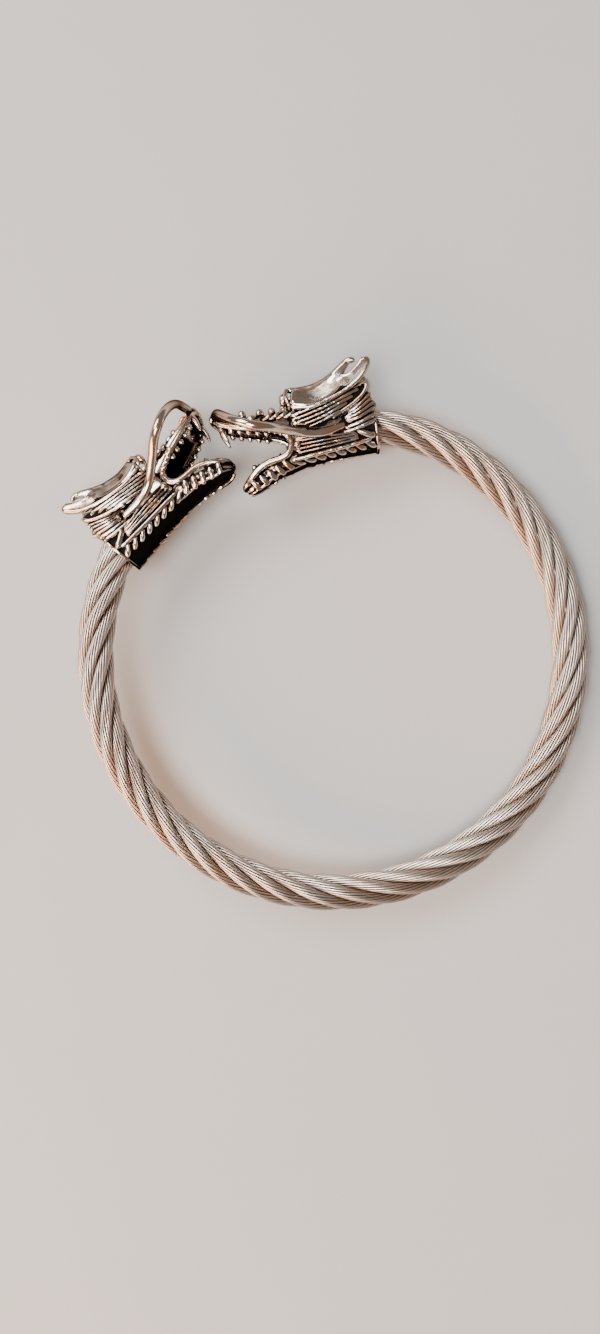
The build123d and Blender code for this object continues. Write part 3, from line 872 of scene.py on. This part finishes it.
FANS = {
    "mane": Fan(
        5,
        [
            (11.9, 3.15, 2.75, 0.28, 0.45), (9.5, 3.5, 3.05, 0.34, 0.98), (6, 3.85, 3.8, 0.44, 1.1),
            (3, 3.96, 4.75, 0.64, 1.1), (0.85, 3.94, 5.65, 0.7, 0.65),
        ],
        [
            (9.2, 3.5, 0.9, 0.28, 0.5), (8.1, 3.6, 1.1, 0.32, 0.95), (6.8, 3.72, 1.45, 0.42, 1.05),
            (5.5, 3.82, 1.9, 0.58, 1.05), (4.3, 3.86, 2.4, 0.62, 0.65),
        ],
    ),
    "neck_locks": Fan(
        4,
        [(3.7, 3.66, 1.85, 0.28, 0.45), (2.2, 3.92, 2.45, 0.44, 0.9), (0.15, 3.92, 3.95, 0.55, 0.62)],
        [(4.1, 3.62, 0.75, 0.28, 0.45), (2.4, 3.85, 0.95, 0.44, 0.9), (0, 3.9, 1.9, 0.55, 0.62)],
    ),
    "cheek_tuft": Fan(
        2,
        [
            (4.2, 3.6, -0.05, 0.35, 0.5), (2.4, 3.82, 0.2, 0.62, 0.8), (0.6, 3.9, 0.85, 0.66, 0.8),
            (0, 3.88, 1.2, 0.4, 0.55),
        ],
        [
            (4.8, 3.55, -0.65, 0.3, 0.45), (2.8, 3.74, -0.45, 0.55, 0.7), (0.9, 3.84, 0.05, 0.6, 0.75),
            (0.1, 3.8, 0.35, 0.4, 0.5),
        ],
    ),
    "throat_locks": Fan(
        4,
        [
            (11.4, 2.98, -0.6, 0.22, 0.4), (8.8, 3.34, -0.7, 0.28, 0.95), (5.9, 3.46, -0.76, 0.3, 0.95),
            (2.8, 3.48, -0.92, 0.3, 0.6),
        ],
        [
            (11.2, 2.72, -2.15, 0.22, 0.4), (8.8, 2.92, -2.1, 0.28, 0.95), (5.9, 3.06, -1.95, 0.3, 0.95),
            (2.6, 3.22, -1.7, 0.3, 0.6),
        ],
    ),
    "comb": Fan(
        8,
        [
            (0.4, 1.8, -2.86, 0.6, 0.6), (0.95, 2.3, -2.66, 0.95, 0.7), (1.55, 2.76, -2.46, 0.6, 0.5),
            (2, 3, -2.3, 0.2, 0.25),
        ],
        [
            (10.25, 1.42, -3.36, 0.6, 0.6), (10.9, 1.84, -3.24, 0.95, 0.7),
            (11.6, 2.26, -3.14, 0.6, 0.5), (12.05, 2.48, -3.02, 0.2, 0.25),
        ],
    ),
    "jaw_tufts": Fan(
        5,
        [(12.05, 1.85, -3.98, 0.8, 0.6), (12.75, 2.38, -3.42, 0.85, 0.66), (13.35, 2.68, -2.78, 0.5, 0.48)],
        [(16.95, 1.35, -5.92, 0.8, 0.6), (17.5, 1.76, -5.25, 0.85, 0.66), (17.98, 1.96, -4.55, 0.5, 0.48)],
    ),
    "teeth": Fan(
        5,
        [(19.65, 2.05, 3.1, 0.8, 0.72), (19.58, 2.12, 2.5, 0.84, 0.75), (19.5, 2.12, 1.98, 0.5, 0.45)],
        [(14.95, 2.48, 1.75, 0.78, 0.72), (14.9, 2.54, 1.22, 0.82, 0.74), (14.85, 2.54, 0.76, 0.5, 0.45)],
    ),
    "lip_beads": Fan(
        5,
        [(15.35, 2.98, 1.84, 0.85, 0.8), (14.85, 3, 1.66, 0.85, 0.8)],
        [(12.45, 3.08, 0.62, 0.72, 0.72), (12.15, 3.08, 0.22, 0.72, 0.72)],
    ),
    "lower_teeth": Fan(
        4,
        [(16.7, 1.95, -3.1, 0.6, 0.5), (16.6, 1.92, -2.45, 0.25, 0.25)],
        [(13.6, 2.4, -2.2, 0.55, 0.5), (13.5, 2.36, -1.65, 0.25, 0.25)],
    ),
    "flames": Fan(
        5,
        [(15.2, 2.6, 3.05, 0.3, 0.4), (14.3, 2.9, 3.35, 0.55, 0.65), (13.6, 2.85, 3.95, 0.22, 0.3)],
        [(11.4, 3.1, 2.75, 0.3, 0.4), (10.4, 3.5, 2.9, 0.55, 0.65), (9.6, 3.6, 3.35, 0.22, 0.3)],
    ),
}
BOWED_WHISKER = round_bar(
    (21.6, 1.1, 4.85, 1.1), (21.35, 2.2, 4.95, 1.26), (20.95, 4.2, 4.66, 1.26), (20.25, 6.2, 3.8, 1.26),
    (19.14, 8, 2.72, 1.26), (17.7, 9.1, 1.75, 1.26), (16.2, 9.28, 1.05, 1.26), (14.6, 8.45, 0.8, 1.26),
    (12.7, 6.6, 0.54, 1.26), (10.5, 4.75, 0.22, 1.26), (8.8, 4.12, -0.08, 1.26), (7, 3.9, -0.16, 1.26),
    (5.6, 3.84, 0.08, 1.05), (4.25, 3.8, 0.38, 0.9),
)
CLOSE_WHISKER = round_bar(
    (21.6, 1.1, 4.85, 1.1), (20.9, 2.15, 4.85, 1.2), (20, 2.8, 4.5, 1.2), (18.6, 3.2, 3.85, 1.2),
    (17, 3.4, 3.2, 1.2), (15.4, 3.52, 2.65, 1.2), (14, 3.6, 2.2, 1.2), (12.6, 3.62, 1.55, 1.2),
    (11.2, 3.6, 0.9, 1.2), (9.5, 3.72, 0.3, 1.2), (7.5, 3.87, -0.15, 1.2), (5.6, 3.84, 0.08, 1.05),
    (4.25, 3.8, 0.38, 0.9),
)
EYE = Boss(12.0, 2.45, 5.25, 0.5, 0.8, 0.92)
KNOBS = [
    Boss(11.05, 3.15, -1.05, 0.5, 0.45, 0.48),
    Boss(15.45, 2.92, 2.1, 0.5, 0.42, 0.5),
    Boss(14.65, 2.96, 1.85, 0.42, 0.4, 0.42),
    Boss(17.75, 1.05, 4.65, 0.55, 0.5, 0.62),
    Boss(15.35, 1.05, 4.35, 0.6, 0.55, 0.72),
    Boss(19.9, 1.25, 4.7, 0.7, 0.6, 0.45),
    Boss(13.7, 1.2, 4.3, 0.55, 0.7, 0.6),
    Boss(16.55, 2.2, 3.7, 0.7, 0.5, 0.45),
]
MOUTH_ROOF = Slope(12.0, 2.0, 0.27)
MOUTH_FLOOR = Slope(14.0, -2.5, -0.62)
LIP_TOP = Slope(13.5, 1.7, 0.29)
# Edges of each patch of painted shade: a measure, where the patch starts by it and where it is full
# Painted shade: the inside of the mouth is blacked out
MOUTH = [("below_roof", 0.0, 0.5), ("above_floor", 0.0, 0.5), ("behind_lip", 0.0, 0.35)]
MOUTH += [("forward", 11.0, 11.8), ("forward", 21.0, 20.2)]
SNOUT = [("above_lip", 0.0, 0.35), ("forward", 11.5, 12.1), ("forward", 21.2, 20.6)]
SOCKET = [("from_eye", 1.9, 1.4), ("from_eye", 0.85, 1.15), ("forward", 11.5, 12.0)]
# Painted shade on the belly, the part of the head that faces down
BELLY = [("tilt", -0.5, -0.8), ("aside", 1.85, 1.55), ("up", -2.9, -3.2)]
# Painted shade: the flat of the horn plates is held at a middle dark, with their ridges left free
HORN_PLATE = [("up", 4.9, 5.5), ("forward", 10.8, 10.3)]
HORN_RIDGE = (-0.007, -0.003)


@dataclass(frozen=True)
class PatinaAndShade:
    """How dark a head is, from 0 to 1, by oxide in its grooves and by painted shade, and how deep in
    millimetres a groove is black from bright.
    """

    plain: float = 0.45
    crease_depth: float = 0.030
    hollow_depth: float = 0.36
    # mouth: the painted shade inside the mouth
    mouth: float = 1.3
    shade: float = 0.35
    # belly: the painted shade of the downward-facing belly
    belly: float = 0.66
    # plate_least, plate_most: the painted shade that the flat of the horn plates is held between
    plate_least: float = 0.44
    plate_most: float = 0.47
    lip_half_width: float = 2.45
    lip_start: float = 15.0
    lip_closing: float = 0.08
    lip_power: float = 1.4

    def dark(self, places: Array, normals: Array, crease: Array, hollow: Array) -> Array:
        """Add up the oxide and the painted shade.

        It is the plain dark, plus the depths of crease and hollow over their own full depths, for oxide,
        plus the painted shade that the inside of the mouth, the snout and the eye's socket add. The belly,
        which faces down, has one painted shade all over. A horn plate's painted shade is no darker than its
        most, and off its ridges no brighter than its least. How far a vertex is in a patch is the product
        of a smooth step for each edge.

        Args:
            places: Where each vertex is.
            normals: Which way it faces.
            crease: How far it lies below its near surroundings.
            hollow: How far it lies below its wider ones.

        Returns:
            One value a vertex, from 0 to 1.
        """
        forward, across, up = places.T
        aside = np.abs(across)
        ahead = np.maximum(forward - self.lip_start, 0)
        measures = {
            "forward": forward,
            "aside": aside,
            "up": up,
            "tilt": normals[:, 2],
            "from_eye": np.hypot(forward - EYE.forward, up - EYE.up),
            "below_roof": MOUTH_ROOF.height(forward) - up,
            "above_floor": up - MOUTH_FLOOR.height(np.maximum(forward, MOUTH_FLOOR.forward)),
            "behind_lip": self.lip_half_width - self.lip_closing * ahead**self.lip_power - aside,
            "above_lip": up - LIP_TOP.height(forward),
        }
        mouth, snout, socket, belly, plate = (
            np.prod([ramp(measures[name], start, full) for name, start, full in edges], axis=0)
            for edges in (MOUTH, SNOUT, SOCKET, BELLY, HORN_PLATE)
        )
        value = self.plain + crease / self.crease_depth + hollow / self.hollow_depth
        value += self.mouth * mouth + self.shade * (snout + socket)
        value += belly * (self.belly - value)
        value -= plate * np.maximum(value - self.plate_most, 0)
        value += plate * ramp(crease, *HORN_RIDGE) * np.maximum(self.plate_least - value, 0)
        return np.clip(value, 0, 1)


@dataclass(frozen=True)
class DragonHead:
    """The casting that both ends share, in its own frame: forward, left and up from the neck."""

    ring: Ring
    bore_radius: float = 2.62
    bore_depth: float = 5.0
    bore_rings: int = 12
    neck_tilt: float = 13.5
    left_roll: float = 25.0
    voxel: float = 0.085
    soften_rounds: int = 2
    triangle_limit: int = 186000
    fine_rounds: int = 5
    broad_rounds: int = 36

    def skull(self) -> Shell:
        """Carry the skull's sections back to the neck rim, and on into the bore.

        The bore's first ring is where its cylinder meets the rim's plane: the circle's points moved
        along the bore until they are no way forward.

        Returns:
            A closed surface.
        """
        outside = block(SKULL)
        turn = radians(self.neck_tilt)
        axis = np.array([cos(turn), 0, sin(turn)])
        rise = np.array([-sin(turn), 0, cos(turn)])
        angle = (tau * np.arange(outside.shape[1]) / outside.shape[1])[:, None]
        circle = self.bore_radius * (np.array([0.0, 1.0, 0.0]) * np.cos(angle) + rise * np.sin(angle))
        mouth = circle - axis * circle[:, :1] / axis[0]
        depths = np.linspace(0, 1, self.bore_rings)[:, None, None]
        inside = mouth + (circle + axis * self.bore_depth - mouth) * depths
        return Shell.from_rings(np.concatenate([outside, inside]))

    def flank(self) -> Shell:
        """Put together the raised and free-standing work of the left flank.

        Returns:
            All of it as one.
        """
        shells = [limb(rows, Section.SQUARE) for rows in PLATES.values()]
        shells += [limb(rows) for rows in ROLLS.values()]
        shells += [shell for group in FANS.values() for shell in fan(group)]
        return Shell.joined([*shells, *(knob(boss) for boss in (EYE, *KNOBS))])

    def cast(self) -> Mesh:
        """Fuse all the surfaces into one skin and thin it to the triangle limit.

        Returns:
            The skin in millimetres, in the head's own frame.
        """
        flank = self.flank()
        jaws = [Shell.from_rings(block(rows)) for rows in (UPPER_JAW, LOWER_JAW)]
        bowed = limb(BOWED_WHISKER, side=Side.UPRIGHT)
        close = limb(CLOSE_WHISKER, side=Side.UPRIGHT).mirrored()
        whole = Shell.joined([self.skull(), *jaws, flank, flank.mirrored(), bowed, close])
        rough = shown(bpy.data.objects.new("casting", whole.to_mesh("casting")))
        remesh = rough.modifiers.new("skin", "REMESH")
        remesh.mode = "VOXEL"
        remesh.voxel_size = self.voxel
        mesh = baked(rough)
        self.soften(mesh)
        faces = len(mesh.polygons) * 2
        rough.modifiers.clear()
        rough.data = mesh
        if faces > self.triangle_limit:
            thin = rough.modifiers.new("thin", "DECIMATE")
            thin.ratio = self.triangle_limit / faces
            mesh = baked(rough)
        bpy.data.objects.remove(rough)
        LOG.info("casting: %d faces before thinning, %d after", faces, len(mesh.polygons))
        return mesh

    def neighbours(self, mesh: Mesh) -> tuple[Array, Array]:
        """The edges as vertex pairs, and how many edges meet at each vertex."""
        edges = read(mesh.edges, "vertices", 2, np.int32)
        return edges, np.bincount(edges.ravel(), minlength=len(mesh.vertices)).astype(float)

    def averaged(self, values: Array, edges: Array, degree: Array) -> Array:
        """Take the mean over each vertex's neighbours: their sum over how many they are.

        Args:
            values: One row a vertex.
            edges: The edges as vertex pairs.
            degree: How many edges meet at each vertex.

        Returns:
            The means, one row a vertex.
        """
        near, far = edges.T
        sums = [
            np.bincount(near, column[far], len(column)) + np.bincount(far, column[near], len(column))
            for column in values.T
        ]
        return np.stack(sums, axis=1) / np.maximum(degree, 1)[:, None]

    def soften(self, mesh: Mesh) -> None:
        """Move each vertex halfway to the mean of its neighbours, a few times over.

        Args:
            mesh: The skin, which is changed.
        """
        places = read(mesh.vertices, "co", 3)
        edges, degree = self.neighbours(mesh)
        for _ in range(self.soften_rounds):
            places = (places + self.averaged(places, edges, degree)) / 2
        mesh.vertices.foreach_set("co", places.ravel())
        mesh.update()

    def recess(self, mesh: Mesh) -> Array:
        """How dark each vertex is, by oxide and painted shade.

        The skin is averaged a few times and many times. Where it lies in a groove, the averaged
        skin rises above it, so the rise along the normal is the depth.

        Args:
            mesh: The finished skin.

        Returns:
            One value a vertex, from 0 to 1.
        """
        places = read(mesh.vertices, "co", 3)
        normals = read(mesh.vertex_normals, "vector", 3)
        edges, degree = self.neighbours(mesh)
        depths = []
        averaged = places
        for rounds in (self.fine_rounds, self.broad_rounds - self.fine_rounds):
            for _ in range(rounds):
                averaged = self.averaged(averaged, edges, degree)
            depths.append(np.sum((averaged - places) * normals, axis=1))
        return PatinaAndShade().dark(places, normals, *depths)

    def build(self, mesh: Mesh, seat: HeadSeat, name: str, material: Material) -> None:
        """Set a copy of the casting on its end of the rope.

        Args:
            mesh: The casting, in millimetres.
            seat: Where it goes.
            name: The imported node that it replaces.
            material: Its look.
        """
        copy = mesh.copy()
        copy.name = name
        places = read(copy.vertices, "co", 3)
        copy.vertices.foreach_set("co", self.ring.place(seat.place(places)).ravel())
        if seat.flank < 0:
            copy.flip_normals()
        copy.polygons.foreach_set("use_smooth", np.ones(len(copy.polygons), bool))
        copy.update()
        new_piece(f"{name}_casting", copy, material, name)


class Lamp(NamedTuple):
    """A soft rectangular light: metres, watts and a colour."""

    name: str
    place: tuple
    size: tuple
    power: float
    colour: tuple


LAMPS = [
    Lamp("window", (-0.35, 0.30, 0.45), (0.45, 0.30), 4.6, (1.0, 0.98, 0.95)),
    Lamp("ceiling", (-0.10, -0.12, 0.50), (0.26, 0.22), 3.0, (1.0, 0.99, 0.98)),
    Lamp("lamp", (-0.28, -0.28, 0.16), (0.42, 0.18), 3.4, (1.0, 0.55, 0.30)),
]
FLOOR_FINISH = {"Roughness": 0.8, "Specular IOR Level": 0.2}


@dataclass(frozen=True)
class Studio:
    """Plain floor, soft lights and a camera over the ring at the photograph's angle.

    Where the camera is and what it takes in are millimetres of the ring's frame, and the nearest
    and furthest that it sees, the floor and the lamps are in metres.
    """

    ring: Ring
    camera_distance: float = 150.0
    camera_foot: tuple = (-4.55, -1.66)
    view_height: float = 184.0
    sensor_height: float = 36.0
    nearest: float = 0.005
    furthest: float = 20.0
    floor_half: float = 3.0
    floor_tints: tuple = ((0.50, 0.50, 0.50, 1.0), (0.53, 0.527, 0.524, 1.0))
    floor_grain: float = 60.0
    sky_colour: tuple = (1.0, 0.80, 0.66, 1.0)
    sky_strength: float = 0.24

    def camera(self) -> None:
        """Look straight down the ring's axis, with the image's top along the ring's Y."""
        data = bpy.data.cameras.new("camera")
        data.sensor_fit = "VERTICAL"
        data.sensor_height = self.sensor_height
        data.lens = self.sensor_height * self.camera_distance / self.view_height
        data.clip_start, data.clip_end = self.nearest, self.furthest
        camera = shown(bpy.data.objects.new("camera", data))
        eye = self.ring.place(np.array([*self.camera_foot, self.camera_distance]))
        turn = Matrix(self.ring.axes.tolist()).transposed().to_4x4()
        camera.matrix_world = Matrix.Translation(Vector(eye)) @ turn
        bpy.context.scene.camera = camera

    def floor(self) -> None:
        """Lay a wide pale floor at the height that the bangle lies on."""
        half = self.floor_half
        mesh = bpy.data.meshes.new("floor")
        corners = [(-half, -half, 0), (half, -half, 0), (half, half, 0), (-half, half, 0)]
        mesh.from_pydata(corners, [], [(0, 1, 2, 3)])
        material, sheet, shader = new_material("floor_paint")
        noise = sheet.noise(sheet.add("ShaderNodeTexCoord").outputs["Object"], self.floor_grain)
        sheet.feed(shader, {"Base Color": sheet.mix(noise, *self.floor_tints), **FLOOR_FINISH})
        mesh.materials.append(material)
        shown(bpy.data.objects.new("floor", mesh))

    def light(self, lamp: Lamp) -> None:
        """Hang a light that faces the bangle.

        Args:
            lamp: Its place, size and colour.
        """
        data = bpy.data.lights.new(lamp.name, "AREA")
        data.shape = "RECTANGLE"
        data.size, data.size_y = lamp.size
        data.energy = lamp.power
        data.color = lamp.colour
        light = shown(bpy.data.objects.new(lamp.name, data))
        light.location = lamp.place
        light.rotation_euler = (-Vector(lamp.place)).to_track_quat("-Z", "Y").to_euler()

    def world(self) -> None:
        """Make a dim even sky, so that what no light reaches isn't black."""
        world = bpy.data.worlds.new("sky")
        world.use_nodes = True
        background = world.node_tree.nodes["Background"]
        background.inputs["Color"].default_value = self.sky_colour
        background.inputs["Strength"].default_value = self.sky_strength
        bpy.context.scene.world = world

    def build(self) -> None:
        """Set up floor, sky, lights and camera."""
        self.floor()
        self.world()
        for lamp in LAMPS:
            self.light(lamp)
        self.camera()


def head_seats(line: RopeLine, head: DragonHead) -> dict[str, HeadSeat]:
    """Turn each head from its end of the rope.

    The right head's forward way is the rope's heading turned up by the neck's tilt, with its up way
    square to it outwards. The left head is the mirror of that, then rolled round its own length.

    Args:
        line: The rope's centre line.
        head: The casting, with its tilt and roll.

    Returns:
        The seats by node name.
    """
    places, _, headings = line.frames(np.array([0.0, line.length]))
    right_forward = turned(headings[1], RING_AXIS, head.neck_tilt)
    left_forward = turned(-headings[0], RING_AXIS, -head.neck_tilt)
    left_up = turned(turned(left_forward, RING_AXIS, 90), left_forward, -head.left_roll)
    return {
        "head_right": HeadSeat(places[1], right_forward, turned(right_forward, RING_AXIS, -90)),
        "head_left": HeadSeat(places[0], left_forward, left_up, -1),
    }


def main() -> None:
    """Build the studio, the rope and the two heads."""
    logging.basicConfig(level=logging.INFO, format="%(message)s")
    ring = Ring.from_record()
    line = RopeLine()
    Studio(ring).build()
    group = recess_group()
    steel = rope_material(RopeSteel(), group)
    WireRope(line, ring).build(steel)
    core = frame["nodes"]["rope_core"]
    core.data.materials.clear()
    core.data.materials.append(steel)
    head = DragonHead(ring)
    skin = head.cast()
    write_recess(skin, head.recess(skin))
    metal = cast_material(CastSteel(), group)
    for name, seat in head_seats(line, head).items():
        head.build(skin, seat, name, metal)


if __name__ == "__main__":
    main()
